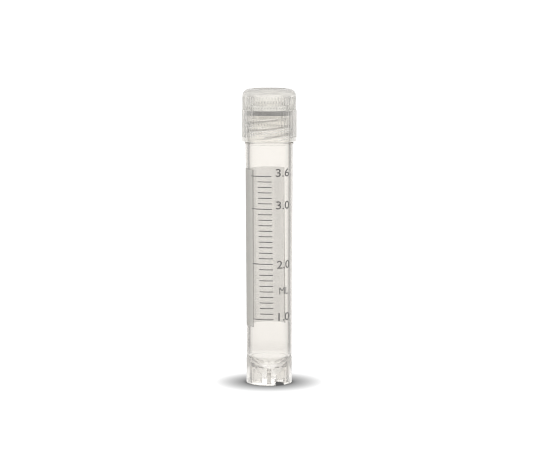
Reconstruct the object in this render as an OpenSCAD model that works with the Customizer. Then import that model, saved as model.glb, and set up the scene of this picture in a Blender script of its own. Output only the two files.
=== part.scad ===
// Self-standing cryogenic vial: a moulded tube with an outside thread and a star foot,
// its screw cap, and the silicone ring that seals between them. Sizes are in millimetres.
// The origin is the centre of the foot on the bench, +Z runs up the tube's axis, and
// the front of the tube faces -Y. Angles round the axis are counted from the front,
// and grow towards +X. The cap is drawn screwed home.

/* [Tube] */
// Height of the tube from the bench to its rim
tube_h = 66.7; // [52:0.1:90]
// Outer diameter of the body where it leaves the foot
body_d = 11.14; // [9.2:0.01:14]
// Thickness of the body's wall where it leaves the foot
wall_t = 0.82; // [0.65:0.01:1.1]
// Draft of the outside of the body, in degrees a side
body_draft = 0.32; // [0:0.01:0.6]
// Draft of the bore, in degrees a side
bore_draft = 0.14; // [0:0.01:0.3]
// Thickness of the round bottom
bottom_t = 1; // [0.7:0.05:1.4]

/* [Star foot] */
// Height of the foot's skirt from the bench to its ledge on the body
foot_h = 6.4; // [5.2:0.1:8]
// How far the skirt stands proud of the body at the ledge
foot_ledge = 0.08; // [0.04:0.01:0.3]
// Thickness of the skirt
foot_wall = 0.8; // [0.6:0.05:1.1]
// Radius of the rounded edges that the skirt stands on
foot_round = 0.12; // [0.05:0.01:0.2]
// Gap between the bench and the lowest point of the round bottom
bottom_lift = 1.6; // [1:0.1:2.4]
// Number of ribs that make the star
rib_count = 6; // [4:2:10]
// Thickness of each rib
rib_t = 1; // [0.6:0.1:1.4]
// Gap between the bench and the ribs
rib_lift = 0.3; // [0.1:0.1:0.8]
// Radius left free for the rack's peg between the tips of the ribs
star_r = 2.3; // [1.5:0.1:3]
// Number of locking notches in the edge of the skirt
notch_count = 2; // [1:1:4]
// Width of each notch
notch_w = 2.7; // [1.5:0.1:3]
// Height of each notch
notch_h = 1.6; // [0.8:0.1:2.4]
// Diameter of the moulding gate's stub under the round bottom
gate_d = 1.6; // [0.8:0.1:2.4]
// Length of the gate's stub
gate_h = 0.4; // [0.2:0.1:0.8]

/* [Neck] */
// Height of the neck from the top of the collar to the rim
neck_h = 6.7; // [6.2:0.1:8]
// Thickness of the neck's wall between its threads, at the rim
neck_wall = 0.6; // [0.45:0.01:0.8]
// Height of the collar under the neck
collar_h = 0.5; // [0.4:0.1:1.5]
// How far the collar stands proud of the body
collar_step = 0.14; // [0.05:0.01:0.5]
// Radius of the rounded edges of the rim
rim_round = 0.2; // [0.05:0.01:0.22]

/* [Thread] */
// Number of thread starts
thread_starts = 2; // [1:1:3]
// Distance between neighbouring ridges, measured along the axis
thread_pitch = 2; // [1.7:0.1:2.2]
// Height of a ridge above the wall that carries it
thread_depth = 0.36; // [0.2:0.01:0.45]
// Width of a ridge at its foot
ridge_foot = 0.95; // [0.7:0.01:1.05]
// Width of a ridge at its crest
ridge_crest = 0.42; // [0.25:0.01:0.6]
// Turns that each ridge makes on the neck
neck_turns = 1.25; // [0.75:0.01:1.3]
// Turns that each ridge makes inside the cap
cap_turns = 0.9; // [0.5:0.01:1]
// Gap between the lowest ridge end and the collar
thread_start = 0.6; // [0.4:0.05:0.8]
// Angle from the front at which the first neck ridge starts
thread_angle = -40; // [-180:1:180]
// Angle over which a ridge rises to its full height
thread_fade = 30; // [15:1:60]

/* [Fits] */
// Radial gap between each crest and the wall it faces
crest_gap = 0.12; // [0.08:0.01:0.2]
// Gap between the flanks that bear on each other when the cap is tight
flank_gap = 0.08; // [0.04:0.01:0.15]
// Gap between the collar and the cap when the cap is tight
skirt_gap = 0.2; // [0.2:0.05:0.6]
// Radial gap between the cap's spigot and the bore
spigot_gap = 0.3; // [0.15:0.01:0.5]
// Radial gap between the seal and the spigot inside it
seal_inner_gap = 0.06; // [0.03:0.01:0.1]
// Radial gap between the seal and the cap round it
seal_outer_gap = 0.12; // [0.05:0.01:0.2]

/* [Seal] */
// Thickness of the silicone ring
seal_t = 1.15; // [0.8:0.05:1.6]
// Radius of the ring's rounded edges
seal_round = 0.22; // [0.1:0.01:0.3]

/* [Cap] */
// Thickness of the skirt behind the threads
skirt_wall = 0.79; // [0.6:0.01:1]
// How far the upper part of the cap is set in from the skirt
cap_step = 0.15; // [0.15:0.01:0.25]
// Height of that step above the sealing face
cap_step_lift = 0.1; // [-0.5:0.1:0.5]
// Thickness of the web that closes the cap
web_t = 1.25; // [0.8:0.05:1.8]
// Diameter of the recess for a colour-coding insert
recess_d = 8.4; // [6:0.1:9]
// Depth of the recess
recess_depth = 4; // [2:0.1:5]
// Radius of the cap's rounded shoulder
shoulder_round = 1.8; // [0.5:0.1:1.8]
// Radius of the small rounded edges
edge_round = 0.25; // [0.1:0.01:0.3]
// How far the spigot reaches into the bore
spigot_reach = 1; // [0.5:0.1:2]
// Thickness of the spigot's wall
spigot_wall = 0.8; // [0.6:0.05:1.2]

/* [Knurl] */
// Number of grooves round the cap
groove_count = 56; // [32:4:72]
// Depth of each groove
groove_depth = 0.14; // [0.05:0.01:0.14]
// Radius of the round cutter that leaves each groove
groove_r = 0.2; // [0.18:0.01:0.25]
// Height of the plain band under the grooves
band_h = 1.1; // [0.5:0.1:2]

/* [Hidden] */
$fn = 96;

tube_color = [0.93, 0.92, 0.9, 0.45];
cap_color = [0.86, 0.85, 0.83, 0.8];
seal_color = [0.66, 0.66, 0.62];

front = -90;            // the front's direction, in degrees from +X
over = 1;               // how far a cut runs past the face it leaves
sweep_steps = 40;       // flats in one turn of a ridge
ridge_root = 0.15;      // how deep a ridge is sunk into the wall that carries it

body_r = body_d / 2;
foot_r = body_r + foot_ledge;
star_outer_r = foot_r - foot_wall;
collar_top = tube_h - neck_h;
collar_bottom = collar_top - collar_h;
neck_r = bore_at(tube_h) + neck_wall;
bowl_bottom = bottom_lift + bottom_t;
bowl_r = (body_r - wall_t + (bowl_bottom - foot_h) * tan(bore_draft)) * cos(bore_draft) / (1 - sin(bore_draft));
bowl_z = bowl_bottom + bowl_r;
seat_z = tube_h + seal_t;
cap_bottom = collar_top + skirt_gap;
cap_bore_r = neck_r + thread_depth + crest_gap;
cap_r = cap_bore_r + skirt_wall;
cap_upper_r = cap_r - cap_step;
step_z = seat_z + cap_step_lift;
recess_floor = seat_z + web_t;
cap_top = recess_floor + recess_depth;
spigot_r = bore_at(tube_h) - spigot_gap;
spigot_z = tube_h - spigot_reach;
lead = thread_pitch * thread_starts;
flank_slope = (ridge_foot - ridge_crest) / 2 / thread_depth;
mesh_drop = ridge_foot - flank_slope * (thread_depth + crest_gap) + flank_gap;
neck_ridge_z = collar_top + thread_start + ridge_foot / 2;
cap_ridge_z = cap_bottom + edge_round + ridge_foot / 2;

// Radius of the outside of the body, and of the bore, at a height
function body_at(z) = body_r + (z - foot_h) * tan(body_draft);
function bore_at(z) = body_r - wall_t + (z - foot_h) * tan(bore_draft);

// What a section loses where its corner at [x, z] is rounded; side_x and side_z are
// 1 or -1, and point from the corner into the material
module corner_waste(x, z, r, side_x, side_z) {
  translate([x, z])
    mirror([side_x < 0 ? 1 : 0, 0])
      mirror([0, side_z < 0 ? 1 : 0])
        difference() {
          translate([-over, -over]) square(r + over);
          translate([r, r]) circle(r);
        }
}

// ---- Threads ----

// Share of its full height that a ridge has at an angle along its length
function ridge_rise(a, turns) = min(1, max(0, min(a, turns * 360 - a) / thread_fade));

// Section of a ridge at an angle along its length: foot, crest, crest, foot
function ridge_section(a, turns, wall_r, out) =
  let (
    top = thread_depth * ridge_rise(a, turns),
    radii = [-ridge_root, top, top, -ridge_root],
    heights = [-ridge_foot, -ridge_crest, ridge_crest, ridge_foot] / 2
  )
  [for (i = [0:3]) let (r = wall_r + out * radii[i]) [r * cos(a), r * sin(a), heights[i] + lead * a / 360]];

// One ridge swept along its helix. out is 1 for a ridge that stands outwards
// from a wall of radius wall_r, and -1 for one that stands inwards.
module ridge(wall_r, turns, out) {
  steps = ceil(turns * sweep_steps);
  points = [for (i = [0:steps]) each ridge_section(i / steps * turns * 360, turns, wall_r, out)];
  last = steps * 4;
  sides = [
    for (i = [0:steps - 1], k = [0:3])
      let (a = i * 4 + k, b = i * 4 + (k + 1) % 4)
        each [[a, b, a + 4], [b, b + 4, a + 4]]
  ];
  faces = concat([[3, 2, 1, 0]], [[last, last + 1, last + 2, last + 3]], sides);
  polyhedron(points = points, faces = out > 0 ? faces : [for (f = faces) [for (i = [len(f) - 1:-1:0]) f[i]]]);
}

// All the starts of a thread whose first ridge starts at an angle from the front
module thread(wall_r, turns, out, z, angle) {
  for (i = [0:thread_starts - 1])
    translate([0, 0, z])
      rotate(front + angle + i * 360 / thread_starts)
        ridge(wall_r, turns, out);
}

// ---- Tube ----

// Half section of everything inside the tube's outer surface, filled solid
module tube_envelope() {
  polygon([
    [0, 0],
    [foot_r, 0],
    [foot_r, foot_h - foot_ledge],
    [body_r, foot_h],
    [body_at(collar_bottom), collar_bottom],
    [body_at(collar_bottom) + collar_step, collar_bottom],
    [body_at(collar_bottom) + collar_step, collar_top - collar_step],
    [body_at(collar_bottom), collar_top],
    [neck_r, collar_top],
    [neck_r, tube_h],
    [0, tube_h]
  ]);
}

// Half section of the bore and the round bottom that it runs into
module bore_section() {
  tangent_z = bowl_z - bowl_r * sin(bore_draft);
  tangent_r = bowl_r * cos(bore_draft);
  polygon([[0, tangent_z], [tangent_r, tangent_z], [bore_at(tube_h + over), tube_h + over], [0, tube_h + over]]);
  intersection() {
    translate([0, bowl_z]) circle(bowl_r);
    square([body_r, tangent_z]);
  }
}

// Half section of the hollow between the foot's skirt and the round bottom
module foot_hollow_section() {
  difference() {
    translate([0, -over]) square([star_outer_r, bowl_z + over]);
    translate([0, bowl_z]) circle(bowl_r + bottom_t);
  }
}

// Half section of the moulded tube without its ribs, notches and thread
module tube_section() {
  difference() {
    tube_envelope();
    bore_section();
    foot_hollow_section();
    corner_waste(foot_r, 0, foot_round, -1, 1);
    corner_waste(star_outer_r, 0, foot_round, 1, 1);
    corner_waste(neck_r, tube_h, rim_round, -1, -1);
    corner_waste(bore_at(tube_h), tube_h, rim_round, 1, -1);
  }
}

// Radial ribs between the skirt and the round bottom
module star_ribs() {
  for (i = [0:rib_count - 1])
    rotate(front + i * 360 / rib_count)
      translate([star_r, -rib_t / 2, rib_lift])
        cube([star_outer_r + foot_wall / 2 - star_r, rib_t, foot_h - rib_lift - foot_wall]);
}

// Locking notches, each midway between two ribs
module notches() {
  for (i = [0:notch_count - 1])
    rotate(front + 180 / rib_count + i * 360 / notch_count)
      translate([star_outer_r - foot_wall, -notch_w / 2, -over])
        cube([foot_wall * 2 + over, notch_w, notch_h + over]);
}

// Stub that the moulding gate leaves in the middle of the foot
module gate_stub() {
  translate([0, 0, bottom_lift - gate_h]) cylinder(d = gate_d, h = gate_h + bottom_t / 2, $fn = 32);
}

module tube() {
  color(tube_color)
    difference() {
      union() {
        rotate_extrude() tube_section();
        difference() {
          union() {
            star_ribs();
            gate_stub();
          }
          translate([0, 0, bowl_z]) sphere(bowl_r);
        }
        thread(neck_r, neck_turns, 1, neck_ridge_z, thread_angle);
      }
      notches();
    }
}

// ---- Cap ----

// Half section of the cap without its grooves and thread
module cap_section() {
  difference() {
    union() {
      translate([0, cap_bottom]) square([cap_r, step_z - cap_bottom]);
      translate([0, cap_bottom]) square([cap_upper_r, cap_top - cap_bottom]);
    }
    translate([0, cap_bottom - over]) square([cap_bore_r, seat_z - cap_bottom + over]);
    translate([0, recess_floor]) square([recess_d / 2, recess_depth + over]);
    corner_waste(cap_upper_r, cap_top, shoulder_round, -1, -1);
    corner_waste(recess_d / 2, cap_top, edge_round, 1, -1);
    corner_waste(cap_r, cap_bottom, edge_round, -1, 1);
    corner_waste(cap_bore_r, cap_bottom, edge_round, 1, 1);
    corner_waste(cap_r, step_z, cap_step, -1, -1);
  }
  spigot_section();
}

// Half section of the spigot that centres the seal and enters the bore
module spigot_section() {
  difference() {
    translate([spigot_r - spigot_wall, spigot_z]) square([spigot_wall, seat_z - spigot_z + web_t / 2]);
    corner_waste(spigot_r, spigot_z, edge_round, -1, 1);
    corner_waste(spigot_r - spigot_wall, spigot_z, edge_round, 1, 1);
  }
}

// Grooves of the knurl between two heights, on a part of the cap of radius r
module grooves(r, z_low, z_high) {
  for (i = [0:groove_count - 1])
    rotate(i * 360 / groove_count)
      translate([r + groove_r - groove_depth, 0, z_low])
        cylinder(r = groove_r, h = z_high - z_low, $fn = 16);
}

module cap() {
  // Angle at which a cap ridge starts, so that it lies just under the neck's
  angle = thread_angle + (cap_ridge_z + mesh_drop - neck_ridge_z) * 360 / lead;
  color(cap_color)
    difference() {
      union() {
        rotate_extrude() cap_section();
        thread(cap_bore_r, cap_turns, -1, cap_ridge_z, angle);
      }
      grooves(cap_r, cap_bottom + band_h, step_z + over / 4);
      grooves(cap_upper_r, step_z, cap_top - shoulder_round);
    }
}

// ---- Seal ----

module sealing_ring() {
  inner_r = spigot_r + seal_inner_gap;
  outer_r = cap_bore_r - seal_outer_gap;
  color(seal_color)
    rotate_extrude()
      difference() {
        translate([inner_r, tube_h]) square([outer_r - inner_r, seal_t]);
        for (side = [1, -1]) {
          x = side > 0 ? inner_r : outer_r;
          corner_waste(x, tube_h, seal_round, side, 1);
          corner_waste(x, seat_z, seal_round, side, -1);
        }
      }
}

tube();
cap();
sealing_ring();
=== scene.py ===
# %% [markdown]
# # A self-standing cryovial, modelled and finished in Blender
#
# A cryovial holds a few millilitres of a sample in deep cold. It is two mouldings and a seal:
# a clear tube that stands on a star-shaped foot, a milky screw cap with a fine knurl, and a
# silicone ring that the cap presses on the tube's rim. A scale and a white writing panel are
# printed on the tube. Clear plastic shows every wall and edge inside it, so each piece here
# is one closed skin of real thickness, and the light bends through it as it does through
# the real one.

# %% Load the frame
import math

import bmesh
import bpy
from mathutils import Matrix, Vector


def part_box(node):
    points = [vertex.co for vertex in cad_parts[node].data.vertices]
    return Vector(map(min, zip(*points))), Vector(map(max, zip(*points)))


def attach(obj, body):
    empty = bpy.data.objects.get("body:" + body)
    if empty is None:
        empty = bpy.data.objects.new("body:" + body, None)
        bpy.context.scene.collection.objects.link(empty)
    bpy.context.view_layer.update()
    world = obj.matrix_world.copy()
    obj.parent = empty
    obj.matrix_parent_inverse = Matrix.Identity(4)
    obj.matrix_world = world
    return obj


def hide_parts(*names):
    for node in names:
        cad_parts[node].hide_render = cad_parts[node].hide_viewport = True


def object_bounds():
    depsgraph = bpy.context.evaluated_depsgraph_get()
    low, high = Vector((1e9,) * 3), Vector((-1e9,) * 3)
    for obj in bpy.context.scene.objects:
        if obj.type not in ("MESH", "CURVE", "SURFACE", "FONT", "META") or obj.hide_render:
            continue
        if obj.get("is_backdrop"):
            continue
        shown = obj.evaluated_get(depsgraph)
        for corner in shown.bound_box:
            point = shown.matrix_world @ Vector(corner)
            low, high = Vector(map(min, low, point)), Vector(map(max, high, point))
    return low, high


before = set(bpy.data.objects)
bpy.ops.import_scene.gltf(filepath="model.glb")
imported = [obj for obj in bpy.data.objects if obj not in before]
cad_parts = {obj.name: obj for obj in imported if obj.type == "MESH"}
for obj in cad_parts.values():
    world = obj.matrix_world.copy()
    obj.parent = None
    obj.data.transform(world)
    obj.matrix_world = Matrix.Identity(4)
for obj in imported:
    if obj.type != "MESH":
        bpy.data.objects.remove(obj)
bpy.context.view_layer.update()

# %% [markdown]
# Moulders work in millimetres and Blender in metres. One number turns the first into the
# second, so that every size below reads as it would on the drawing.

# %% Millimetres
MM = 0.001
rim_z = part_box("tube")[1].z / MM          # top of the tube
cap_low_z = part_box("cap")[0].z / MM       # lower edge of the cap
cap_top_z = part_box("cap")[1].z / MM
seal_low_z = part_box("sealing_ring")[0].z / MM
seal_top_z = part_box("sealing_ring")[1].z / MM
print(f"rim {rim_z:.2f} mm, cap {cap_low_z:.2f} to {cap_top_z:.2f} mm, "
      f"seal {seal_low_z:.2f} to {seal_top_z:.2f} mm")

# %% [markdown]
# ## Turned shapes
#
# The tube, the cap and the seal are all round about one axis, as if they came off a lathe.
# The outline could be modelled by hand in the viewport, but it is simpler to draw half of the
# section as a chain of points and spin it once round the axis. `bmesh.ops.spin` with
# `use_merge` joins the last step to the first, so the skin closes without a seam.

# %% Helpers for a half section
def arc(centre_r, centre_z, radius, start, end, steps):
    """Points on an arc of a half section, from one angle to another, in degrees from +r."""
    angles = [math.radians(start + (end - start) * i / steps) for i in range(steps + 1)]
    return [(centre_r + radius * math.cos(a), centre_z + radius * math.sin(a)) for a in angles]


def rows(radius_low, z_low, radius_high, z_high, spacing):
    """Points along a straight wall of a half section, no further apart than spacing."""
    count = math.ceil(abs(z_high - z_low) / spacing)
    return [
        (radius_low + (radius_high - radius_low) * i / count, z_low + (z_high - z_low) * i / count)
        for i in range(count + 1)
    ]


def turned(section, steps, closed):
    """A bmesh of a half section, in millimetres, spun once round the Z axis."""
    bm = bmesh.new()
    points = [bm.verts.new((0, -r * MM, z * MM)) for r, z in section]
    pairs = list(zip(points, points[1:]))
    if closed:
        pairs.append((points[-1], points[0]))
    chain = [bm.edges.new(p) for p in pairs]
    bmesh.ops.spin(bm, geom=points + chain, axis=(0, 0, 1), cent=(0, 0, 0),
                   angle=math.tau, steps=steps, use_merge=True)
    bmesh.ops.remove_doubles(bm, verts=bm.verts, dist=0.002 * MM)
    bmesh.ops.recalc_face_normals(bm, faces=bm.faces)
    return bm


def finished(name, bm, crease=32):
    """Turns a bmesh into a piece: smooth shaded, but sharp where faces meet at more than crease."""
    mesh = bpy.data.meshes.new(name)
    bm.to_mesh(mesh)
    bm.free()
    mesh.shade_smooth()
    mesh.set_sharp_from_angle(angle=math.radians(crease))
    piece = bpy.data.objects.new(name, mesh)
    bpy.context.scene.collection.objects.link(piece)
    print(f"{name}: {len(mesh.vertices)} points, {len(mesh.polygons)} faces")
    return piece


# %% [markdown]
# ## The screw thread
#
# The neck and the cap each carry two ridges that climb 4 mm in a turn and fade out at both
# ends. A ridge could be swept on its own and joined to the wall, but the join would leave
# hard edges that catch light wrongly in clear plastic. Here the wall is given close rows, and
# each point is pushed out or in by the height that the ridge has there, so wall and thread
# stay one skin.

# %% Height of a thread's ridge
LEAD = 4.0                                  # climb in one turn
RIDGE_DEPTH, RIDGE_ROOT = 0.36, 0.15        # how far a ridge stands off its wall, and is sunk in it
RIDGE_FOOT, RIDGE_CREST = 0.95, 0.42        # its width at the bottom and at the top
FADE = 30                                   # degrees over which each end fades out
ON_WALL = 0.01                              # a point this close to the wall's radius is on it


def ridge_height(angle, z, first_angle, first_z, turns):
    """How far the two-start thread stands off its wall at an angle from the front and a height."""
    best = 0.0
    for start in (first_angle, first_angle + 180):
        along = (angle - start) % 360
        while along <= turns * 360:
            rise = min(1, along / FADE, (turns * 360 - along) / FADE)
            top = RIDGE_DEPTH * rise
            off = abs(z - first_z - LEAD * along / 360)
            slope = (top + RIDGE_ROOT) / ((RIDGE_FOOT - RIDGE_CREST) / 2)
            best = max(best, min(top, (RIDGE_FOOT / 2 - off) * slope - RIDGE_ROOT))
            along += 360
    return best


def push_threads(bm, wall_r, z_low, z_high, direction, first_angle, first_z, turns):
    """Moves the points of a round wall out or in to make its thread."""
    moved = 0
    for v in bm.verts:
        r, z = math.hypot(v.co.x, v.co.y) / MM, v.co.z / MM
        if abs(r - wall_r) < ON_WALL and z_low < z < z_high:
            angle = math.degrees(math.atan2(v.co.x, -v.co.y))
            h = ridge_height(angle, z, first_angle, first_z, turns)
            if h > 0:
                scale = (r + direction * h) / r
                v.co.x *= scale
                v.co.y *= scale
                moved += 1
    print(f"thread: moved {moved} points")


# %% [markdown]
# ## The tube
#
# The tube is injection moulded in natural polypropylene. It widens a little towards the neck,
# so that it leaves the mould, and its wall grows from 0.8 mm at the foot to 1.0 mm at the
# collar. The round bottom floats inside a skirt, the star foot, which stands on the bench. The
# whole section, from the gate's stub out to the skirt, up to the rim and down the bore, is one
# chain of points.

# %% Tube section
FOOT_R, BODY_R, STAR_R = 5.65, 5.57, 4.85
BOWL_R, BOWL_Z, BOTTOM_T = 4.752, 7.352, 1.0
NECK_R, BORE_RIM_R = 5.497, 4.897
COLLAR_LOW, COLLAR_HIGH = 59.5, 60.0
BODY_FOOT_Z, BODY_DRAFT = 6.4, 0.32         # where the body leaves the foot, and its taper in degrees
FOOT_ROUND, RIM_ROUND = 0.12, 0.2
NECK_FIRST_ANGLE, NECK_FIRST_Z, NECK_TURNS = -40, 61.075, 1.25


def body_at(z):
    """Radius of the outside of the body at a height."""
    return BODY_R + (z - BODY_FOOT_Z) * math.tan(math.radians(BODY_DRAFT))


dome_r = BOWL_R + BOTTOM_T
stub_r = 0.8
stub_angle = -math.degrees(math.acos(stub_r / dome_r))
dome_end = -math.degrees(math.acos(STAR_R / dome_r))
collar_r = body_at(COLLAR_LOW) + 0.14
tube_section = (
    [(0, 1.2), (stub_r - 0.1, 1.2), (stub_r, 1.3)]
    + arc(0, BOWL_Z, dome_r, stub_angle, dome_end, 20)
    + [(STAR_R, 2.0)]
    + arc(STAR_R + FOOT_ROUND, FOOT_ROUND, FOOT_ROUND, 180, 270, 4)
    + arc(FOOT_R - FOOT_ROUND, FOOT_ROUND, FOOT_ROUND, 270, 360, 4)
    + [(FOOT_R, 6.3), (FOOT_R - 0.02, 6.34), (BODY_R + 0.02, 6.38), (BODY_R, 6.42)]
    + rows(body_at(7), 7, body_at(59.4), 59.4, 4)
    + [(body_at(59.48), 59.48), (body_at(59.5) + 0.03, 59.51)]
    + [(collar_r - 0.04, 59.51), (collar_r, 59.55)]
    + [(collar_r, 59.86), (collar_r - 0.14, COLLAR_HIGH)]
    + [(NECK_R + 0.05, COLLAR_HIGH), (NECK_R, COLLAR_HIGH + 0.05)]
    + rows(NECK_R, 60.1, NECK_R, 66.4, 0.07)
    + arc(NECK_R - RIM_ROUND, rim_z - RIM_ROUND, RIM_ROUND, 0, 90, 5)
    + arc(BORE_RIM_R + RIM_ROUND, rim_z - RIM_ROUND, RIM_ROUND, 90, 180, 5)
    + rows(4.8945, 65.5, 4.752, 7.36, 4)
    + arc(0, BOWL_Z, BOWL_R, 0, -90, 28)[1:-1]
    + [(0, BOWL_Z - BOWL_R)]
)
bm = turned(tube_section, 144, closed=False)
push_threads(bm, NECK_R, COLLAR_HIGH + 0.15, 66.45, 1, NECK_FIRST_ANGLE, NECK_FIRST_Z, NECK_TURNS)
tube = finished("tube_moulding", bm)

# %% [markdown]
# Six ribs join the skirt to the round bottom and make the star that a rack's peg grips. Two
# notches in the skirt's edge lock the vial against turning. These are the only places where
# the tube isn't round, so they are cut and joined with Boolean modifiers, which are applied
# at once. In clear plastic a rib that merely overlaps the bottom would show its buried faces.

# %% Ribs and notches
RIB_LOW, RIB_HIGH = (2.3, -0.5, 0.3), (5.25, 0.5, 5.0)          # corners: outwards, sideways, up
NOTCH_LOW, NOTCH_HIGH = (4.05, -1.35, -1), (6.65, 1.35, 1.6)
NOTCH_ANGLE = 30                            # the middle of a window between two ribs
RIB_SINK = 0.5                              # how deep the ribs reach into the round bottom
CREASE = 32                                 # faces that meet at more than this look sharp, degrees


def slab(low, high, angle):
    """A bmesh box between two corners in mm, turned round the axis by angle from the front."""
    bm = bmesh.new()
    size = Vector(high) - Vector(low)
    centre = (Vector(high) + Vector(low)) / 2
    bmesh.ops.create_cube(bm, size=MM, matrix=Matrix.Rotation(math.radians(angle - 90), 4, "Z")
                          @ Matrix.Translation(centre * MM) @ Matrix.Diagonal((*size, 1)))
    return bm


def gather(name, parts):
    """One object from several bmeshes."""
    mesh = bpy.data.meshes.new(name)
    whole = bmesh.new()
    for part in parts:
        part.to_mesh(mesh)
        part.free()
        whole.from_mesh(mesh)
    whole.to_mesh(mesh)
    whole.free()
    tool = bpy.data.objects.new(name, mesh)
    bpy.context.scene.collection.objects.link(tool)
    return tool


def apply_boolean(piece, tool, operation):
    """Cuts or joins tool and piece, keeps the result as piece's mesh, and removes tool."""
    modifier = piece.modifiers.new("cut", "BOOLEAN")
    modifier.operation, modifier.object, modifier.solver = operation, tool, "EXACT"
    modifier.use_self = False
    solved = piece.evaluated_get(bpy.context.evaluated_depsgraph_get())
    made = bpy.data.meshes.new_from_object(solved)
    piece.modifiers.clear()
    piece.data = made
    bpy.data.objects.remove(tool)
    print(f"{operation.lower()}: {len(made.polygons)} faces")


ribs = gather("ribs", [slab(RIB_LOW, RIB_HIGH, i * 60) for i in range(6)])
# the ribs end inside the round bottom's wall, so what would reach the bore is cut off first
bowl = bmesh.new()
bmesh.ops.create_uvsphere(bowl, u_segments=96, v_segments=64, radius=(BOWL_R + RIB_SINK) * MM,
                          matrix=Matrix.Translation((0, 0, BOWL_Z * MM)))
apply_boolean(ribs, gather("bowl", [bowl]), "DIFFERENCE")
apply_boolean(tube, ribs, "UNION")
notches = gather("notches", [slab(NOTCH_LOW, NOTCH_HIGH, NOTCH_ANGLE + i * 180) for i in range(2)])
apply_boolean(tube, notches, "DIFFERENCE")
tube.data.shade_smooth()
tube.data.set_sharp_from_angle(angle=math.radians(CREASE))
check = bmesh.new()
check.from_mesh(tube.data)
open_edges = sum(not e.is_manifold for e in check.edges)
print(f"tube: {open_edges} open edges, {check.calc_volume() / MM**3:.1f} cubic mm")
check.free()

# %% [markdown]
# ## The cap
#
# The cap is moulded in a milkier polypropylene. Its skirt carries the inside thread, a web
# closes it, and above the web a round recess takes a colour-coded insert. A short spigot
# centres the silicone ring. The outside has 56 fine grooves for the fingers. They could be
# cut one by one, but it is quicker to spin the section in 448 steps, eight for each groove,
# and press in the points that lie in a groove, as a knurling wheel does. The grooves stay
# shallow, because in clear plastic each one is a small lens, and deep ones would break up the
# thread and the seal behind them: 0.09 mm here, where the solid's are 0.14 mm.

# %% Cap section
CAP_R, CAP_UPPER_R, CAP_BORE_R, SHOULDER = 6.767, 6.617, 5.977, 1.8
SPIGOT_R, SPIGOT_BORE_R, SPIGOT_Z = 4.597, 3.797, 65.7
SEAT_Z, STEP_Z, FLOOR_Z, RECESS_R = 67.85, 67.95, 69.1, 4.2
GROOVES, STEPS_EACH = 56, 8
GROOVE_DEPTH, GROOVE_CUT_R = 0.09, 0.2      # cut by a round cutter of 0.2 mm radius
GROOVE_LOW, GROOVE_HIGH = 61.3, 71.3
ROUND, SMALL_ROUND = 0.25, 0.15             # radii of the cap's edges
CAP_FIRST_Z, CAP_TURNS = 60.925, 0.9
THREAD_DROP = 0.6767                        # the cap's ridge lies this far below the neck's

cap_section = (
    [(0, FLOOR_Z)]
    + arc(RECESS_R - SMALL_ROUND, FLOOR_Z + SMALL_ROUND, SMALL_ROUND, 270, 360, 3)
    + arc(RECESS_R + ROUND, cap_top_z - ROUND, ROUND, 180, 90, 5)
    + arc(CAP_UPPER_R - SHOULDER, cap_top_z - SHOULDER, SHOULDER, 90, 0, 16)[:-1]
    + [(CAP_UPPER_R, GROOVE_HIGH + 0.02), (CAP_UPPER_R, GROOVE_HIGH - 0.04)]
    + [(CAP_UPPER_R, STEP_Z + 0.05), (CAP_UPPER_R + 0.01, STEP_Z)]
    + arc(CAP_R - SMALL_ROUND, STEP_Z - SMALL_ROUND, SMALL_ROUND, 80, 0, 4)
    + [(CAP_R, GROOVE_LOW + 0.04), (CAP_R, GROOVE_LOW - 0.02)]
    + arc(CAP_R - ROUND, cap_low_z + ROUND, ROUND, 0, -90, 5)
    + arc(CAP_BORE_R + ROUND, cap_low_z + ROUND, ROUND, 270, 180, 5)
    + rows(CAP_BORE_R, 60.5, CAP_BORE_R, 65.3, 0.08)
    + [(CAP_BORE_R, SEAT_Z - 0.08), (CAP_BORE_R - 0.08, SEAT_Z)]
    + [(SPIGOT_R + 0.05, SEAT_Z), (SPIGOT_R, SEAT_Z - 0.05)]
    + arc(SPIGOT_R - ROUND, SPIGOT_Z + ROUND, ROUND, 0, -90, 5)
    + arc(SPIGOT_BORE_R + ROUND, SPIGOT_Z + ROUND, ROUND, 270, 180, 5)
    + [(SPIGOT_BORE_R, SEAT_Z - 0.1), (SPIGOT_BORE_R - 0.1, SEAT_Z), (0, SEAT_Z)]
)
bm = turned(cap_section, GROOVES * STEPS_EACH, closed=False)
cap_first_angle = NECK_FIRST_ANGLE + (CAP_FIRST_Z + THREAD_DROP - NECK_FIRST_Z) * 360 / LEAD
push_threads(bm, CAP_BORE_R, cap_low_z + 0.3, 65.5, -1, cap_first_angle, CAP_FIRST_Z, CAP_TURNS)
pressed = 0
for v in bm.verts:
    r, z = math.hypot(v.co.x, v.co.y) / MM, v.co.z / MM
    if r < CAP_UPPER_R - 0.01 or not GROOVE_LOW < z < GROOVE_HIGH:
        continue
    wall = CAP_R if z < STEP_Z + 0.02 else CAP_UPPER_R
    turn = math.atan2(v.co.y, v.co.x) / math.tau * GROOVES
    sideways = abs(turn - round(turn)) / GROOVES * math.tau * wall
    if sideways < GROOVE_CUT_R:
        bottom = wall + GROOVE_CUT_R - GROOVE_DEPTH - math.sqrt(GROOVE_CUT_R**2 - sideways**2)
        if bottom < r:
            v.co.x *= bottom / r
            v.co.y *= bottom / r
            pressed += 1
print(f"knurl: pressed {pressed} points")
cap = finished("cap_moulding", bm)

# %% [markdown]
# ## The seal
#
# The seal is a ring of grey silicone with rounded edges. It is drawn a hair thinner than the
# gap that it fills, because two faces in exactly the same place flicker in a render.

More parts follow.
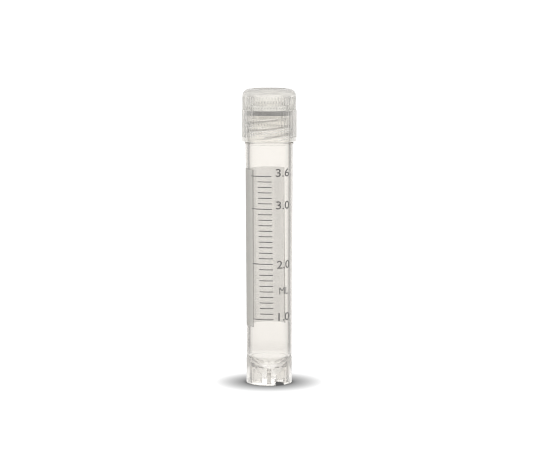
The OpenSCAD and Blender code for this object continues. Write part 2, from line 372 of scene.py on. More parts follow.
# %% Seal
SEAL_IN_R, SEAL_OUT_R, EDGE, HAIR = 4.657, 5.857, 0.22, 0.008
low, high = seal_low_z + HAIR, seal_top_z - HAIR
seal_section = (
    arc(SEAL_IN_R + EDGE, low + EDGE, EDGE, 180, 270, 5)
    + arc(SEAL_OUT_R - EDGE, low + EDGE, EDGE, 270, 360, 5)
    + arc(SEAL_OUT_R - EDGE, high - EDGE, EDGE, 0, 90, 5)
    + arc(SEAL_IN_R + EDGE, high - EDGE, EDGE, 90, 180, 5)
)
seal = finished("seal_ring", turned(seal_section, 96, closed=True))

# %% [markdown]
# ## The print
#
# The scale and the panel are screen printed, so each is a skin of ink a few hundredths of a
# millimetre thick that follows the wall. A label could be painted in the material, but ink
# with its own edge stays crisp and can be seen from both sides through the clear wall. Each
# mark is drawn flat, cut into narrow strips so that it can bend, wrapped round the body and
# then given its thickness.

# %% Wrap flat print round the body
INK_IN = 0.02                               # how deep the ink is sunk in the wall
STRIP = 0.3                                 # width of the strips that artwork is cut into


def wrapped(name, bm, ink, lift=0.0):
    """Bends flat artwork round the body and thickens it.

    X is the distance along the wall from the front and Y is the height, both in mm.
    """
    xs = [v.co.x for v in bm.verts]
    for i in range(math.ceil(min(xs) / STRIP), math.floor(max(xs) / STRIP) + 1):
        bmesh.ops.bisect_plane(bm, geom=bm.verts[:] + bm.edges[:] + bm.faces[:], dist=1e-5,
                               plane_co=(i * STRIP, 0, 0), plane_no=(1, 0, 0))
    bmesh.ops.remove_doubles(bm, verts=bm.verts, dist=1e-4)
    inner = bm.verts[:]
    for v in inner:
        z, turn = v.co.y, v.co.x / body_at(v.co.y)
        r = body_at(z) - INK_IN + lift
        v.co = Vector((r * math.sin(turn), -r * math.cos(turn), z)) * MM
    bmesh.ops.recalc_face_normals(bm, faces=bm.faces)
    middle = max(bm.faces, key=lambda f: f.calc_area())
    centre = middle.calc_center_median()
    if middle.normal.dot(Vector((centre.x, centre.y, 0))) < 0:
        bmesh.ops.reverse_faces(bm, faces=bm.faces)
    bmesh.ops.solidify(bm, geom=bm.faces[:], thickness=-(INK_IN + ink) * MM)
    bmesh.ops.recalc_face_normals(bm, faces=bm.faces)
    return finished(name, bm)


def patch(x_low, x_high, z_low, z_high):
    """A flat rectangle of artwork."""
    bm = bmesh.new()
    place = Matrix.Translation(((x_low + x_high) / 2, (z_low + z_high) / 2, 0))
    size = Matrix.Diagonal((x_high - x_low, z_high - z_low, 1, 1))
    bmesh.ops.create_grid(bm, x_segments=1, y_segments=1, size=0.5, matrix=place @ size)
    return bm


def degrees_to_mm(angle, z):
    return math.radians(angle) * body_at(z)


# %% [markdown]
# ### Writing panel
#
# The panel is a patch of matt white ink that takes a pencil. It starts left of the scale and
# runs round the back, so the scale has the white behind it and is easy to read. It is one
# rectangle of artwork, 0.015 mm proud of the wall. A second copy of the wall with a white
# material would do too, but its edges would be ragged where they cut across the wall's faces.

# %% Writing panel
PANEL_FAR, PANEL_NEAR = -234.0, -42.5       # its two upright edges, in degrees from the front
PANEL_LOW, PANEL_HIGH = 14.45, 53.45
PANEL_INK, PANEL_LIFT = 0.02, -0.005        # under the scale's ink, so it is laid a hair deeper
panel_mid = body_at((PANEL_LOW + PANEL_HIGH) / 2)
panel_left, panel_right = (math.radians(edge) * panel_mid for edge in (PANEL_FAR, PANEL_NEAR))
panel = wrapped("writing_panel", patch(panel_left, panel_right, PANEL_LOW, PANEL_HIGH), PANEL_INK, PANEL_LIFT)
print(f"panel: {panel_right - panel_left:.1f} mm round, {PANEL_HIGH - PANEL_LOW:.1f} mm high")

# %% [markdown]
# ### Graduations
#
# The marks run from 1.0 to 3.6 mL in steps of 0.1 mL. The bore widens a little upwards, so
# equal volumes take less height there and the marks draw closer. Spacing them by eye is
# possible, but the volume of the bore gives the spacing exactly. The bore is a cone, so its
# radius at a mark is a cube root. The first mark's own height is set by where the print starts,
# and the space below it holds only 0.87 mL, so the scale isn't a true measure. The print leans
# by 6 degrees round the body from top to bottom.

# %% Where each mark stands
BORE_TAPER = 0.00245                        # how much the bore's radius grows in each millimetre
BORE_FOOT_Z = 7.36                          # where the taper starts, at the top of the bowl
FIRST_MARK_Z, MARK_SPACE = 16.5, 994.0      # height of 1.0 mL, and cubic mm to each further mL
LEAN, LEAN_FROM_Z = 0.16, 52.8              # degrees round in each mm down, and where it starts


def bore_at(z):
    """Radius of the bore at a height."""
    return BOWL_R + (z - BORE_FOOT_Z) * BORE_TAPER


def mark_z(millilitres):
    """Height where the bore above the first mark has taken in the rest."""
    volume = MARK_SPACE * (millilitres - 1.0)
    end_r = (bore_at(FIRST_MARK_Z) ** 3 + 3 * BORE_TAPER * volume / math.pi) ** (1 / 3)
    return BORE_FOOT_Z + (end_r - BOWL_R) / BORE_TAPER


def lean(z):
    """How far round, in degrees, the print leans at a height."""
    return LEAN * (LEAN_FROM_Z - z)


print("marks at", [round(mark_z(v), 2) for v in (1.0, 2.0, 3.0, 3.6)], "mm")

# %% Graduations
LONG_FROM, SHORT_FROM, MARK_TO = -49, -29.3, 5.2     # degrees from the front
MARK_WIDTH, MARK_INK = 0.22, 0.035
MARKS, LONG_MARKS = 27, (0, 10, 20, 26)
scale = bmesh.new()
flat_mesh = bpy.data.meshes.new("marks")
for i in range(MARKS):
    value = 1.0 + i * 0.1
    z = mark_z(value)
    start = LONG_FROM if i in LONG_MARKS else SHORT_FROM
    mark = patch(degrees_to_mm(start + lean(z), z), degrees_to_mm(MARK_TO + lean(z), z),
                 z - MARK_WIDTH / 2, z + MARK_WIDTH / 2)
    mark.to_mesh(flat_mesh)
    scale.from_mesh(flat_mesh)
    mark.free()
marks = wrapped("scale_marks", scale, MARK_INK)

# %% [markdown]
# ### Numerals
#
# Blender's own font is a plain upright sans, close to the lettering of such scales. Each
# number is a text curve, made a mesh while it still lies flat, then fitted to its width and
# height, and wrapped with the rest. The figures are thickened a little, and the unit less.

# %% Numerals
NUMERAL_FROM, NUMERAL_TO = 16, 56           # degrees from the front
CAPITAL = 0.73                              # height of a capital as a share of the font's size
THICKENED, WIDEST, NUMERAL_INK = 0.02, 1.3, 0.03
LETTERING = (("3.6", 52.8, 2.0), ("3.0", 44.8, 2.0), ("2.0", 30.1, 2.0),
             ("ML", 23.6, 1.75), ("1.0", 17.1, 2.0))
numerals = bmesh.new()
for text, z, height in LETTERING:           # what it says, the height of its middle, and its size
    curve = bpy.data.curves.new("numeral", "FONT")
    curve.body, curve.align_x, curve.align_y = text, "CENTER", "CENTER"
    curve.size = height / CAPITAL
    curve.offset = THICKENED if text != "ML" else 0.0
    curve.resolution_u = 6
    letters = bpy.data.objects.new("numeral", curve)
    bpy.context.scene.collection.objects.link(letters)
    filled = letters.evaluated_get(bpy.context.evaluated_depsgraph_get())
    flat = bpy.data.meshes.new_from_object(filled)
    xs = [v.co.x for v in flat.vertices]
    ys = [v.co.y for v in flat.vertices]
    x_low = degrees_to_mm(NUMERAL_FROM + lean(z), z)
    x_high = degrees_to_mm(NUMERAL_TO + lean(z), z)
    width_fit = (x_high - x_low) / (max(xs) - min(xs)) if text != "ML" else 1.0
    height_fit = height / (max(ys) - min(ys))
    middle = Matrix.Translation((-(max(xs) + min(xs)) / 2, -(max(ys) + min(ys)) / 2, 0))
    fitted = Matrix.Diagonal((min(width_fit, WIDEST), height_fit, 1, 1)) @ middle
    flat.transform(Matrix.Translation(((x_low + x_high) / 2, z, 0)) @ fitted)
    numerals.from_mesh(flat)
    bpy.data.objects.remove(letters)
numbers = wrapped("scale_numerals", numerals, NUMERAL_INK)

# %% [markdown]
# ## Materials
#
# Five materials cover the vial: natural polypropylene, a milkier polypropylene, silicone and
# two inks. Each is a small tree of nodes. Colours are given as a designer picks them on screen,
# and one function turns them into the linear values that a render works in. A second function
# adds a node, sets it and links it, so that each tree reads from top to bottom. Patterns are
# sized in millimetres: a noise whose grains are 2 mm across has a scale of 1 / (2 mm). The
# inputs of a Map Range node are numbered: 0 is the value, 1 and 2 are the range it comes from,
# and 3 and 4 the range it goes to. Most of what a noise gives lies between 0.3 and 0.7.

# %% Colour and node helpers
NOISE_SPREAD = {1: 0.3, 2: 0.7}


def linear(hex_colour):
    """An sRGB hex colour such as E8E4DC as linear RGBA."""
    values = [int(hex_colour[i:i + 2], 16) / 255 for i in (0, 2, 4)]
    return (*[v / 12.92 if v <= 0.04045 else ((v + 0.055) / 1.055) ** 2.4 for v in values], 1)


def add(tree, kind, links=None, **settings):
    """Adds a node with its settings and input values, and links inputs to other nodes' outputs."""
    node = tree.nodes.new(kind)
    for name, value in settings.items():
        setattr(node, name, value)
    for key, value in (links or {}).items():
        socket = node.inputs[key]
        if hasattr(value, "links"):
            tree.links.new(value, socket)
        else:
            socket.default_value = value
    return node


def new_material(name):
    material = bpy.data.materials.new(name)
    material.use_nodes = True
    material.node_tree.nodes.clear()
    return material, material.node_tree


def round_the_axis(tree):
    """Object coordinates, the height above the bench and the distance from the vial's axis."""
    where = add(tree, "ShaderNodeTexCoord").outputs["Object"]
    split = add(tree, "ShaderNodeSeparateXYZ", {0: where})
    level = add(tree, "ShaderNodeCombineXYZ", {0: split.outputs["X"], 1: split.outputs["Y"], 2: 0.0})
    away = add(tree, "ShaderNodeVectorMath", {0: level.outputs[0]}, operation="LENGTH")
    return where, split.outputs["Z"], away.outputs["Value"]


# %% [markdown]
# ### The tube's plastic
#
# Natural polypropylene has no pigment. A thin polished wall of it is almost as clear as glass,
# with an index of 1.49. Where it is thick, as in the foot, its fine crystals scatter the light
# and it turns hazy. Real scattering inside the plastic could be rendered as a volume, but it is
# slow and grainy. Instead the outer skin of the thick places lets a little less light straight
# through. The haze grows where the skin is seen aslant, because the path through the plastic is
# longer there. A rib's inner end is seen through the rib's whole depth, so it is the haziest.
# A weak absorption warms and dims the long paths along a wall or a rib, which deepens the dark
# line down each side.
#
# The ridges of the neck's thread show through the cap as dark lines. A clear flat crest shows
# too light, so it gets a grey tone of painted shade, whose depth was chosen.
#
# The polished steel core leaves faint lines along its draw, and the cooling wall sinks in slow
# waves. They are far too shallow to model, so they go into the bump: 0.9 mm wide streaks a few
# thousandths of a millimetre deep, stretched along the tube, on waves 5 mm long.

# %% Natural polypropylene
PP_IOR = 1.49
THIN_CLARITY = 0.97                         # how much of the light a skin lets straight through
THICK_CLARITY, THICK_ASLANT_CLARITY = 0.78, 0.4
RIB_END_CLARITY, RIB_END_R, RIB_END_REACH = 0.15, 2.33, 0.04
UNDER_BOWL_R, INSIDE_SKIRT_R, UNDER_TOP_Z = 5.4, 4.8, 6.0
SKIRT_SKIN_R, SKIRT_TOP_Z, FADED_Z = 5.3, 6.3, 10.0
CREST_R, NECK_Z = 5.845, 60.3
STREAK_WIDTH, STREAK_STRETCH, WAVE_LENGTH, WAVE_WEIGHT = 0.9, 0.04, 5, 4.0
SINK_DEPTH, HAZY_ROUGHNESS = 0.003, 0.08

clear_pp, tree = new_material("natural_polypropylene_moulded")
where, height, radius = round_the_axis(tree)
from_bowl = add(tree, "ShaderNodeVectorMath", {0: where, 1: (0, 0, BOWL_Z * MM)},
                operation="DISTANCE").outputs["Value"]
# the underside of the round bottom and the ribs: outside the bowl, inside the skirt, below its top
beyond = add(tree, "ShaderNodeMath", {0: from_bowl, 1: UNDER_BOWL_R * MM}, operation="GREATER_THAN")
within = add(tree, "ShaderNodeMath", {0: radius, 1: INSIDE_SKIRT_R * MM}, operation="LESS_THAN")
low = add(tree, "ShaderNodeMath", {0: height, 1: UNDER_TOP_Z * MM}, operation="LESS_THAN")
under = add(tree, "ShaderNodeMath", {0: beyond.outputs[0], 1: within.outputs[0]}, operation="MULTIPLY")
under = add(tree, "ShaderNodeMath", {0: under.outputs[0], 1: low.outputs[0]}, operation="MULTIPLY")
# the skirt's outside, fading into the body
outside = add(tree, "ShaderNodeMath", {0: radius, 1: SKIRT_SKIN_R * MM}, operation="GREATER_THAN")
thick = add(tree, "ShaderNodeMapRange",
            {0: height, 1: SKIRT_TOP_Z * MM, 2: FADED_Z * MM, 3: 1.0, 4: 0.0})
skirt = add(tree, "ShaderNodeMath", {0: thick.outputs[0], 1: outside.outputs[0]}, operation="MULTIPLY")
haze = add(tree, "ShaderNodeMath", {0: skirt.outputs[0], 1: under.outputs[0]}, operation="MAXIMUM")
aslant = add(tree, "ShaderNodeLayerWeight", {"Blend": 0.5})
hazy = add(tree, "ShaderNodeMapRange", {
    0: aslant.outputs["Facing"], 1: 0.3, 2: 0.9, 3: THICK_CLARITY, 4: THICK_ASLANT_CLARITY})
# the ribs' inner ends
end = add(tree, "ShaderNodeMath", {0: radius, 1: RIB_END_R * MM, 2: RIB_END_REACH * MM},
          operation="COMPARE")
end = add(tree, "ShaderNodeMath", {0: end.outputs[0], 1: under.outputs[0]}, operation="MULTIPLY")
hazy = add(tree, "ShaderNodeMix", {0: end.outputs[0], 2: hazy.outputs[0], 3: RIB_END_CLARITY},
           data_type="FLOAT")
clarity = add(tree, "ShaderNodeMix", {0: haze.outputs[0], 2: THIN_CLARITY, 3: hazy.outputs[0]},
              data_type="FLOAT")
# the thread's crest: a grey tone, painted shade for the dark lines seen through the cap
proud = add(tree, "ShaderNodeMath", {0: radius, 1: CREST_R * MM}, operation="GREATER_THAN")
neck = add(tree, "ShaderNodeMath", {0: height, 1: NECK_Z * MM}, operation="GREATER_THAN")
crest_painted_shade = add(tree, "ShaderNodeMath", {0: proud.outputs[0], 1: neck.outputs[0]}, operation="MULTIPLY")
tone = add(tree, "ShaderNodeMix", {0: crest_painted_shade.outputs[0], 6: linear("FFFEFC"), 7: linear("8E8C88")},
           data_type="RGBA")
# streaks and waves
drawn = add(tree, "ShaderNodeMapping", {"Vector": where, "Scale": (1, 1, STREAK_STRETCH)})
streaks = add(tree, "ShaderNodeTexNoise", {
    "Vector": drawn.outputs[0], "Scale": 1 / (STREAK_WIDTH * MM), "Detail": 2.0})
waves = add(tree, "ShaderNodeTexNoise", {
    "Vector": where, "Scale": 1 / (WAVE_LENGTH * MM), "Detail": 1.0})
relief = add(tree, "ShaderNodeMath", {
    0: waves.outputs["Fac"], 1: WAVE_WEIGHT, 2: streaks.outputs["Fac"]}, operation="MULTIPLY_ADD")
shape = add(tree, "ShaderNodeBump", {
    "Height": relief.outputs[0], "Strength": 1.0, "Distance": SINK_DEPTH * MM})
polish = add(tree, "ShaderNodeMapRange", {0: streaks.outputs["Fac"], **NOISE_SPREAD, 3: 0.012, 4: 0.03})
gloss = add(tree, "ShaderNodeMix", {0: haze.outputs[0], 2: polish.outputs[0], 3: HAZY_ROUGHNESS},
            data_type="FLOAT")
surface = add(tree, "ShaderNodeBsdfPrincipled", {
    "Base Color": tone.outputs[2], "Roughness": gloss.outputs[0], "IOR": PP_IOR,
    "Transmission Weight": clarity.outputs[0], "Normal": shape.outputs[0]})
inside = add(tree, "ShaderNodeVolumeAbsorption", {"Color": linear("F4F1EC"), "Density": 150.0})
add(tree, "ShaderNodeOutputMaterial", {"Surface": surface.outputs[0], "Volume": inside.outputs[0]})
print("natural polypropylene:", len(tree.nodes), "nodes")

# %% [markdown]
# ### The cap's plastic
#
# The cap is a grade with more haze, so the seal and the threads show through it as soft grey
# shapes. The recipe is the tube's with other numbers: the outside of the knurled wall is hazy,
# most of all where it is seen aslant, and more so below the step than above it. The thick
# rounded crown is milky from every side, and the thread inside stays clear. The amounts were
# chosen. The haze is a little cloudy, in patches 2.5 mm across, as the flow of a melt
# may leave it. The skin has the satin grain of a blasted mould, drawn here 0.3 mm across. Real
# grain is finer, but would be too small to see.

# %% Milky polypropylene
WALL_FROM_R, WALL_TO_R = 6.2, 6.4           # the haze comes in between these radii
CROWN_FROM_Z, CROWN_TO_Z, CROWN_CLARITY = 71.0, 72.6, 0.45
WALL_CLARITY, ABOVE_STEP_CLARITY = 0.84, 0.2        # seen straight on, and aslant above the step
STEP_FROM_Z, STEP_TO_Z = 67.8, 68.1
CLOUD_SIZE, CLOUD_DEPTH, GRAIN_SIZE, GRAIN_DEPTH = 2.5, 0.04, 0.3, 0.003
INNER_ROUGHNESS = 0.02

milky_pp, tree = new_material("milky_polypropylene_moulded")
where, height, radius = round_the_axis(tree)
wall = add(tree, "ShaderNodeMapRange", {0: radius, 1: WALL_FROM_R * MM, 2: WALL_TO_R * MM, 3: 0.0, 4: 1.0})
crown = add(tree, "ShaderNodeMapRange",
            {0: height, 1: CROWN_FROM_Z * MM, 2: CROWN_TO_Z * MM, 3: 0.0, 4: 1.0})
outside = add(tree, "ShaderNodeMath", {0: wall.outputs[0], 1: crown.outputs[0]}, operation="MAXIMUM")
aslant = add(tree, "ShaderNodeLayerWeight", {"Blend": 0.5})
limb = add(tree, "ShaderNodeMapRange",
           {0: height, 1: STEP_FROM_Z * MM, 2: STEP_TO_Z * MM, 3: 0.0, 4: ABOVE_STEP_CLARITY})
hazy = add(tree, "ShaderNodeMapRange", {
    0: aslant.outputs["Facing"], 1: 0.35, 2: 0.75, 3: WALL_CLARITY, 4: limb.outputs[0]})
clouds = add(tree, "ShaderNodeTexNoise", {
    "Vector": where, "Scale": 1 / (CLOUD_SIZE * MM), "Detail": 2.0})
cloudy = add(tree, "ShaderNodeMapRange",
             {0: clouds.outputs["Fac"], **NOISE_SPREAD, 3: -CLOUD_DEPTH, 4: CLOUD_DEPTH})
hazy = add(tree, "ShaderNodeMath", {0: hazy.outputs[0], 1: cloudy.outputs[0]}, operation="ADD")
skin = add(tree, "ShaderNodeMix", {0: outside.outputs[0], 2: THIN_CLARITY, 3: hazy.outputs[0]},
           data_type="FLOAT")
clarity = add(tree, "ShaderNodeMix", {0: crown.outputs[0], 2: skin.outputs[0], 3: CROWN_CLARITY},
              data_type="FLOAT")
grain = add(tree, "ShaderNodeTexNoise", {"Vector": where, "Scale": 1 / (GRAIN_SIZE * MM), "Detail": 2.0})
satin = add(tree, "ShaderNodeMapRange", {0: grain.outputs["Fac"], **NOISE_SPREAD, 3: 0.06, 4: 0.11})
gloss = add(tree, "ShaderNodeMix", {0: outside.outputs[0], 2: INNER_ROUGHNESS, 3: satin.outputs[0]},
            data_type="FLOAT")
shape = add(tree, "ShaderNodeBump", {
    "Height": grain.outputs["Fac"], "Strength": 0.5, "Distance": GRAIN_DEPTH * MM})
surface = add(tree, "ShaderNodeBsdfPrincipled", {
    "Base Color": linear("FCFBF8"), "Roughness": gloss.outputs[0], "IOR": PP_IOR,
    "Transmission Weight": clarity.outputs[0], "Normal": shape.outputs[0]})
inside = add(tree, "ShaderNodeVolumeAbsorption", {"Color": linear("F3F3F0"), "Density": 110.0})
add(tree, "ShaderNodeOutputMaterial", {"Surface": surface.outputs[0], "Volume": inside.outputs[0]})
print("milky polypropylene:", len(tree.nodes), "nodes")

# %% [markdown]
# ### Silicone
#
# The seal is cured silicone rubber, filled grey, with an index of 1.41. It has the dull, even
# sheen of rubber, and a fine pebbling from its mould, drawn here 0.25 mm across. Faint lighter
# flecks of filler keep it from looking like paint.

# %% Silicone
PEBBLE_SIZE, PEBBLE_DEPTH, FLECK_SIZE = 0.25, 0.01, 0.6

silicone, tree = new_material("silicone_moulded")
where = add(tree, "ShaderNodeTexCoord").outputs["Object"]
pebbles = add(tree, "ShaderNodeTexNoise", {
    "Vector": where, "Scale": 1 / (PEBBLE_SIZE * MM), "Detail": 3.0})
flecks = add(tree, "ShaderNodeTexNoise", {"Vector": where, "Scale": 1 / (FLECK_SIZE * MM), "Detail": 2.0})
colour = add(tree, "ShaderNodeValToRGB", {0: flecks.outputs["Fac"]})
for stop, (position, shade) in zip(colour.color_ramp.elements, ((0.4, "363632"), (0.75, "4A4A45"))):
    stop.position, stop.color = position, linear(shade)
sheen = add(tree, "ShaderNodeMapRange", {0: pebbles.outputs["Fac"], **NOISE_SPREAD, 3: 0.48, 4: 0.64})
shape = add(tree, "ShaderNodeBump", {
    "Height": pebbles.outputs["Fac"], "Strength": 0.6, "Distance": PEBBLE_DEPTH * MM})
surface = add(tree, "ShaderNodeBsdfPrincipled", {
    "Base Color": colour.outputs[0], "Roughness": sheen.outputs[0], "IOR": 1.41, "Normal": shape.outputs[0]})
add(tree, "ShaderNodeOutputMaterial", {"Surface": surface.outputs[0]})
print("silicone:", len(tree.nodes), "nodes")

# %% [markdown]
# ### Inks
#
# The white ink is a thin film that a pencil can write on, so it is matt and lets light through.
# It covers more where it is seen aslant, and its cover changes by a few hundredths in patches
# 1.5 mm across, as a squeegee may leave it. The quarter beside the scale has the most cover,
# and a band along both upright edges has more cover and a darker tone. Both were chosen.
# Alpha does all this: light still goes straight through the film. The grey ink of the
# scale is a denser epoxy ink. Its tone wanders a little along each mark.

# %% White ink
FILM_COVER, ASLANT_COVER, HEAVY_COVER, EDGE_BAND_SHARE = 0.205, 0.28, 0.62, 0.5
EDGE_BAND_WIDTH = 1.95                           # degrees
HEAVY_FROM, HEAVY_TO = -75, -95             # degrees, measured from the back
PATCH_SIZE, PATCH_COVER = 1.5, 0.015

white_ink, tree = new_material("white_ink_screen_printed")
where = add(tree, "ShaderNodeTexCoord").outputs["Object"]
aslant = add(tree, "ShaderNodeLayerWeight", {"Blend": 0.5})
cover = add(tree, "ShaderNodeMapRange", {
    0: aslant.outputs["Facing"], 1: 0.0, 2: 0.6, 3: FILM_COVER, 4: ASLANT_COVER})
split = add(tree, "ShaderNodeSeparateXYZ", {0: where})
turn = add(tree, "ShaderNodeMath", {0: split.outputs["X"], 1: split.outputs["Y"]}, operation="ARCTAN2")
panel_middle = math.radians(-180 - (PANEL_FAR + PANEL_NEAR) / 2)       # turn is measured from the back
to_edge_band = math.radians((PANEL_NEAR - PANEL_FAR) / 2 - EDGE_BAND_WIDTH)
film = add(tree, "ShaderNodeMath", {0: turn.outputs[0], 1: panel_middle, 2: to_edge_band}, operation="COMPARE")
# both upright edges: a band with more cover and a darker tone
edge = add(tree, "ShaderNodeMath", {0: 1.0, 1: film.outputs[0]}, operation="SUBTRACT")
heavy = add(tree, "ShaderNodeMapRange", {
    0: turn.outputs[0], 1: math.radians(HEAVY_FROM), 2: math.radians(HEAVY_TO), 3: 0.0, 4: 1.0})
edge_band = add(tree, "ShaderNodeMath", {0: edge.outputs[0], 1: EDGE_BAND_SHARE}, operation="MULTIPLY")
heavy = add(tree, "ShaderNodeMath", {0: heavy.outputs[0], 1: edge_band.outputs[0]}, operation="MAXIMUM")
cover = add(tree, "ShaderNodeMix", {0: heavy.outputs[0], 2: cover.outputs[0], 3: HEAVY_COVER},
            data_type="FLOAT")
tone = add(tree, "ShaderNodeMix", {0: edge.outputs[0], 6: linear("CDCCC8"), 7: linear("8C8B87")},
           data_type="RGBA")
patches = add(tree, "ShaderNodeTexNoise", {
    "Vector": where, "Scale": 1 / (PATCH_SIZE * MM), "Detail": 3.0})
uneven = add(tree, "ShaderNodeMapRange",
             {0: patches.outputs["Fac"], **NOISE_SPREAD, 3: -PATCH_COVER, 4: PATCH_COVER})
cover = add(tree, "ShaderNodeMath", {0: cover.outputs[0], 1: uneven.outputs[0]}, operation="ADD")
matt = add(tree, "ShaderNodeMapRange", {0: patches.outputs["Fac"], **NOISE_SPREAD, 3: 0.82, 4: 0.95})
surface = add(tree, "ShaderNodeBsdfPrincipled", {
    "Base Color": tone.outputs[2], "Roughness": matt.outputs[0], "IOR": 1.49,
    "Specular IOR Level": 0.0, "Alpha": cover.outputs[0]})
add(tree, "ShaderNodeOutputMaterial", {"Surface": surface.outputs[0]})
print("white ink:", len(tree.nodes), "nodes")

# %% Grey ink
TONE_PATCH = 0.5

grey_ink, tree = new_material("grey_epoxy_ink_screen_printed")
where = add(tree, "ShaderNodeTexCoord").outputs["Object"]
patches = add(tree, "ShaderNodeTexNoise", {"Vector": where, "Scale": 1 / (TONE_PATCH * MM), "Detail": 3.0})
colour = add(tree, "ShaderNodeValToRGB", {0: patches.outputs["Fac"]})
for stop, (position, shade) in zip(colour.color_ramp.elements, ((0.35, "616160"), (0.65, "737371"))):
    stop.position, stop.color = position, linear(shade)
matt = add(tree, "ShaderNodeMapRange", {0: patches.outputs["Fac"], **NOISE_SPREAD, 3: 0.5, 4: 0.7})
surface = add(tree, "ShaderNodeBsdfPrincipled", {
    "Base Color": colour.outputs[0], "Roughness": matt.outputs[0]})
add(tree, "ShaderNodeOutputMaterial", {"Surface": surface.outputs[0]})
print("grey ink:", len(tree.nodes), "nodes")

# %% [markdown]
# ## Bodies and materials
#
# Each piece moves with one body of the model: the tube and its print stay, the cap unscrews,
# and the seal rises with the cap. The three moulded pieces stand for their solids of the same
# shape, which keep doing the work of collision but no longer show.

# %% Give each piece its material and body
for piece, body, material, slot, nodes in (
    (tube, "vial", clear_pp, "clear_polypropylene", ["tube"]),
    (cap, "closure", milky_pp, "milky_polypropylene", ["cap"]),
    (seal, "seal_carrier", silicone, "silicone", ["sealing_ring"]),
    (panel, "vial", white_ink, "white_ink", []),
    (marks, "vial", grey_ink, "grey_ink", []),
    (numbers, "vial", grey_ink, "grey_ink", []),
):
    piece.data.materials.clear()
    piece.data.materials.append(material)
    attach(piece, body)
    if nodes:
        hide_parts(*nodes)

# %% [markdown]
# ## The studio
#
# Clear plastic has almost no look of its own. It shows the room, bent and mirrored. The tube's
# dark outlines come from the sides of the room, so the light is shaped by direction: bright in
# front, a little less behind, and dim at both sides towards the back. How dim was chosen.
# Lamps could do this, but lamps in clear plastic leave hot spots and noise. A world whose
# brightness depends on direction is a perfectly soft box with dark flags at its sides, and it
# costs nothing to render.

# %% How bright the studio is in a direction
SIDE_STOPS = [(0.0, 1.25), (0.25, 1.25), (0.5, 1.15), (0.63, 0.9), (0.75, 0.58), (0.82, 0.47),
              (0.883, 0.43), (0.915, 0.5), (0.9345, 0.65), (0.9568, 0.93), (0.978, 0.97), (0.9925, 0.98)]
WARM_GREEN, WARM_BLUE = 0.985, 0.97         # the light is a touch warm


def fill_ramp(node, stops):
    """Sets a colour ramp's stops from pairs of place and brightness."""
    ramp = node.color_ramp
    while len(ramp.elements) < len(stops):
        ramp.elements.new(0.5)
    for element, (place, colour) in zip(ramp.elements, stops):
        element.position, element.color = place, (*colour, 1)


def studio_brightness(tree, direction, ceiling=False):
    """Brightness of the studio in a direction. The ramp runs from straight in front to behind."""
    split = add(tree, "ShaderNodeSeparateXYZ", {0: direction})
    level = add(tree, "ShaderNodeCombineXYZ", {0: split.outputs[0], 1: split.outputs[1], 2: 0.0})
    unit = add(tree, "ShaderNodeVectorMath", {0: level.outputs[0]}, operation="NORMALIZE")
    ahead = add(tree, "ShaderNodeSeparateXYZ", {0: unit.outputs[0]})
    share = add(tree, "ShaderNodeMapRange", {0: ahead.outputs[1], 1: -1.0, 2: 1.0, 3: 0.0, 4: 1.0})
    ramp = add(tree, "ShaderNodeValToRGB", {0: share.outputs[0]})
    fill_ramp(ramp, [(place, (value, value * WARM_GREEN, value * WARM_BLUE)) for place, value in SIDE_STOPS])
    if not ceiling:
        return ramp.outputs[0]
    high = add(tree, "ShaderNodeMapRange", {0: split.outputs[2], 1: 0.55, 2: 0.95, 3: 1.0, 4: 0.5},
               interpolation_type="SMOOTHSTEP")
    return add(tree, "ShaderNodeMix", {0: 1.0, 6: ramp.outputs[0], 7: high.outputs[0]},
               data_type="RGBA", blend_type="MULTIPLY").outputs[2]


print("studio:", len(SIDE_STOPS), "steps from front to back")

# %% [markdown]
# ### The world
#
# What the camera sees directly is plain white, a touch brighter than white so that it stays
# clean. What the plastic sees is the shaped light. Light Path tells the two apart.

# %% World
BACKDROP = (1.15, 1.15, 1.15, 1)
world = bpy.data.worlds.new("studio")
bpy.context.scene.world = world
world.use_nodes = True
tree = world.node_tree
tree.nodes.clear()
where = add(tree, "ShaderNodeTexCoord")
path = add(tree, "ShaderNodeLightPath")
dim = studio_brightness(tree, where.outputs["Generated"], ceiling=True)
seen = add(tree, "ShaderNodeMix", {0: path.outputs["Is Camera Ray"], 6: dim, 7: BACKDROP},
           data_type="RGBA")
back = add(tree, "ShaderNodeBackground", {"Color": seen.outputs[2], "Strength": 1.0})
add(tree, "ShaderNodeOutputWorld", {"Surface": back.outputs[0]})
print("world:", len(tree.nodes), "nodes")

# %% [markdown]
# ### The floor
#
# The floor is a white sweep that melts into the backdrop. It glows instead of being lit, so
# there is no horizon. The soft shade round the foot is painted on it as rings, because a floor
# that glows catches no shadow. The rings that the camera sees are stronger than those that the
# plastic sees. A real floor would show both the same, but each was chosen.

# %% Floor
def shadow(tree, away, stops):
    """A soft ring of shade round the foot. stops are radii in millimetres and brightnesses."""
    reach = stops[-1][0]
    near = add(tree, "ShaderNodeMapRange", {0: away, 1: 0.0, 2: reach * MM, 3: 0.0, 4: 1.0})
    shade = add(tree, "ShaderNodeValToRGB", {0: near.outputs[0]})
    fill_ramp(shade, [(radius / reach, (value, value, value)) for radius, value in stops])
    return shade.outputs[0]


FLOOR_REACH = 4.0                           # metres from the middle to each side
FLOOR_NEAR, NEAR_R, FAR_R = (1.2, 1.19, 1.18, 1), 25, 45
SEEN_RINGS = [(0, 0.10), (5.5, 0.10), (5.7, 0.16), (6.65, 0.30), (8.15, 0.42), (9.6, 0.54),
              (11.2, 0.69), (13.1, 0.87), (16, 1.0)]
LIT_RINGS = [(0, 0.95), (5.0, 0.95), (6.0, 0.75), (9.0, 0.80), (16, 0.89), (60, 0.93), (200, 1.0)]
bm = bmesh.new()
bmesh.ops.create_grid(bm, x_segments=1, y_segments=1, size=FLOOR_REACH)
floor_mesh = bpy.data.meshes.new("floor")
bm.to_mesh(floor_mesh)
bm.free()
floor = bpy.data.objects.new("floor", floor_mesh)
bpy.context.scene.collection.objects.link(floor)
floor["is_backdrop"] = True
floor_paint, tree = new_material("white_sweep")
where = add(tree, "ShaderNodeTexCoord")
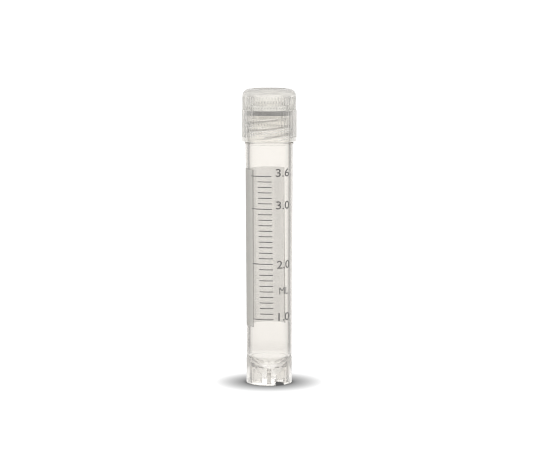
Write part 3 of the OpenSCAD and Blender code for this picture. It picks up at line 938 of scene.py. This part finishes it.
path = add(tree, "ShaderNodeLightPath")
far = studio_brightness(tree, where.outputs["Object"])
away = add(tree, "ShaderNodeVectorMath", {0: where.outputs["Object"]},
           operation="LENGTH").outputs["Value"]
# close to the foot the floor glows brighter for what the plastic sees: a painted pool of light
near = add(tree, "ShaderNodeMapRange", {0: away, 1: NEAR_R * MM, 2: FAR_R * MM, 3: 1.0, 4: 0.0})
dim = add(tree, "ShaderNodeMix", {0: near.outputs[0], 6: far, 7: FLOOR_NEAR},
          data_type="RGBA").outputs[2]
seen = add(tree, "ShaderNodeMix", {0: path.outputs["Is Camera Ray"], 6: dim, 7: BACKDROP},
           data_type="RGBA")
seen_shade = shadow(tree, away, SEEN_RINGS)
lit_shade = shadow(tree, away, LIT_RINGS)
shade = add(tree, "ShaderNodeMix", {0: path.outputs["Is Camera Ray"], 6: lit_shade, 7: seen_shade},
            data_type="RGBA")
both = add(tree, "ShaderNodeMix", {0: 1.0, 6: seen.outputs[2], 7: shade.outputs[2]},
           data_type="RGBA", blend_type="MULTIPLY")
glow = add(tree, "ShaderNodeEmission", {"Color": both.outputs[2], "Strength": 1.0})
add(tree, "ShaderNodeOutputMaterial", {"Surface": glow.outputs[0]})
floor.data.materials.append(floor_paint)
print("floor:", len(tree.nodes), "nodes")

# %% [markdown]
# ### The camera
#
# A long lens from a little over half a metre keeps the tube's sides nearly parallel. It looks
# down by about 7 degrees, enough to open the ellipse of the cap and the foot.

# %% Camera
CAMERA_PLACE, AIM = (0, -0.56, 0.1054), (0, 0, 0.03935)        # metres
camera_data = bpy.data.cameras.new("camera")
camera_data.lens, camera_data.sensor_width = 151.9, 36
camera_data.shift_x = 0.0015
camera_data.clip_start, camera_data.clip_end = 0.01, 20
camera = bpy.data.objects.new("camera", camera_data)
bpy.context.scene.collection.objects.link(camera)
camera.location = CAMERA_PLACE
aim = Vector(AIM)
camera.rotation_mode = "QUATERNION"
camera.rotation_quaternion = (aim - camera.location).to_track_quat("-Z", "Y")
bpy.context.scene.camera = camera
fall = math.degrees(math.atan2(camera.location.z - aim.z, -camera.location.y))
print(f"camera: {fall:.1f} degrees down, lens {camera_data.lens} mm")

# %% [markdown]
# ### Light through many walls
#
# A ray that crosses cap, thread, tube and print meets a dozen surfaces on its way in and as
# many on its way out. If the bounces run out the ray turns black, so their limits go up.

# %% Bounces and colour
scene = bpy.context.scene
scene.view_settings.view_transform = "Standard"
scene.view_settings.look = "None"
scene.cycles.max_bounces = 48
scene.cycles.transmission_bounces = 48
scene.cycles.glossy_bounces = 24
scene.cycles.diffuse_bounces = 24
scene.cycles.transparent_max_bounces = 16
scene.cycles.sample_clamp_indirect = 4.0
scene.cycles.filter_width = 1.1
print("bounces:", scene.cycles.max_bounces)

# %% [markdown]
#
# Looks must not change the size. The boxes of the tube, cap and seal solids were read at the
# start, and the box of everything that shows is read here and its size printed.

# %% Sizes
low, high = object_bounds()
print("size mm:", [round((b - a) / MM, 3) for a, b in zip(low, high)])
